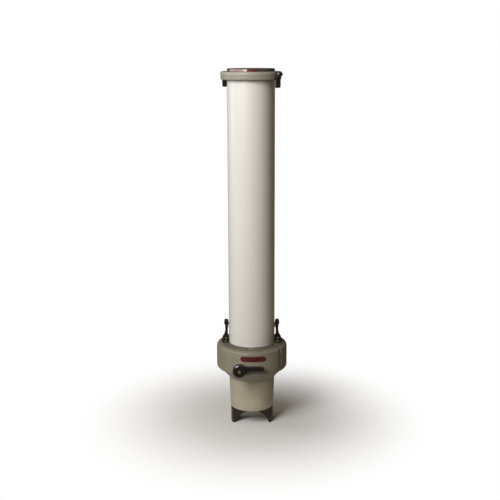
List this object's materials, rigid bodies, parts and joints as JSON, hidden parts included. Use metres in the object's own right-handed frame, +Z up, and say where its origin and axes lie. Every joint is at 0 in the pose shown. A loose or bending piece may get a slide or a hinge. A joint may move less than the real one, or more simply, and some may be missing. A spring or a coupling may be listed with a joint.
{
  "type": "cartridge filter housing",
  "caption": "Tall white tube filter housing with a screw-down grey lid, a wide valve collar with a black lever and side latches, a tapered cup and an arch foot.",
  "frame": {"origin": "on the floor, midway across the width and depth of the whole object", "axes": "+Z up along the tube, the lever faces -Y, the pipe unions face +Y"},
  "size_m": [0.176, 0.2544, 0.884],
  "materials": {
    "white_tube": "satin",
    "grey_plastic": "satin",
    "charcoal_plastic": "matte",
    "black_plastic": "gloss",
    "red_label": "satin",
    "white_plastic": "satin",
    "steel": "satin",
    "black_rubber": "matte",
    "filter_media": "matte",
    "blue_end_cap": "matte"
  },
  "bodies": {
    "root": {"body_tube": "white_tube", "tube_top_ring": "grey_plastic", "tube_catches": "white_tube", "tube_seal": "black_rubber", "collar_body": "grey_plastic", "collar_cap": "grey_plastic", "collar_screws": "steel", "collar_badge": "red_label", "latch_bracket_left": "black_plastic", "latch_bracket_right": "black_plastic", "latch_pins": "steel", "bracket_screws": "steel", "stem_gland": "black_plastic", "outlet_elbow": "grey_plastic", "elbow_seal": "black_rubber", "spigot_seal": "black_rubber", "cartridge_media": "filter_media", "cartridge_core": "white_plastic", "cartridge_bottom_cap": "blue_end_cap", "cartridge_top_cap": "blue_end_cap", "hold_down_pad": "black_rubber", "sump_cup": "grey_plastic", "cup_seal": "black_rubber", "foot_stand": "black_plastic", "foot_screws": "steel", "inlet_tail": "grey_plastic", "outlet_tail": "grey_plastic", "union_gaskets": "black_rubber"},
    "lid": {"lid_plate": "charcoal_plastic", "lid_seal": "black_rubber", "lid_label": "red_label"},
    "rim": {"lock_ring": "grey_plastic", "grip_lug_left": "black_plastic", "grip_lug_right": "black_plastic", "lug_screws": "steel"},
    "vent": {"vent_plug": "black_plastic", "vent_seal": "black_rubber"},
    "valve": {"valve_rotor": "white_plastic", "stem_seals": "black_rubber", "lever_handle": "black_plastic", "lever_screw": "steel"},
    "left_latch": {"latch_arm_left": "black_plastic"},
    "right_latch": {"latch_arm_right": "black_plastic"},
    "drain": {"drain_plug": "black_plastic", "drain_seal": "black_rubber"},
    "inlet_union": {"inlet_nut": "black_plastic"},
    "outlet_union": {"outlet_nut": "black_plastic"}
  },
  "joints": [
    {"name": "lid_lift", "type": "slide", "parent": "root", "child": "lid", "axis": [0, 0, 1], "range_m": [0, 0.15]},
    {"name": "lock_ring_turn", "type": "hinge", "parent": "lid", "child": "rim", "pos_m": [0, -0.0198, 0.873], "axis": [0, 0, 1], "range_deg": [0, 60]},
    {"name": "vent_turn", "type": "hinge", "parent": "lid", "child": "vent", "pos_m": [0, -0.0198, 0.878], "axis": [0, 0, 1], "continuous": true},
    {"name": "lever_turn", "type": "hinge", "parent": "root", "child": "valve", "pos_m": [-0.0305, -0.0198, 0.1655], "axis": [0, 1, 0], "range_deg": [0, 90]},
    {"name": "left_latch_tilt", "type": "hinge", "parent": "root", "child": "left_latch", "pos_m": [-0.06475, -0.0198, 0.2215], "axis": [0, -1, 0], "range_deg": [0, 35]},
    {"name": "right_latch_tilt", "type": "hinge", "parent": "root", "child": "right_latch", "pos_m": [0.06475, -0.0198, 0.2215], "axis": [0, 1, 0], "range_deg": [0, 35]},
    {"name": "drain_turn", "type": "hinge", "parent": "root", "child": "drain", "pos_m": [0, -0.0198, 0.041], "axis": [0, 0, 1], "continuous": true},
    {"name": "inlet_nut_turn", "type": "hinge", "parent": "root", "child": "inlet_union", "pos_m": [-0.034, 0.08, 0.161], "axis": [0, 1, 0], "continuous": true},
    {"name": "outlet_nut_turn", "type": "hinge", "parent": "root", "child": "outlet_union", "pos_m": [0.034, 0.08, 0.161], "axis": [0, 1, 0], "continuous": true}
  ]
}
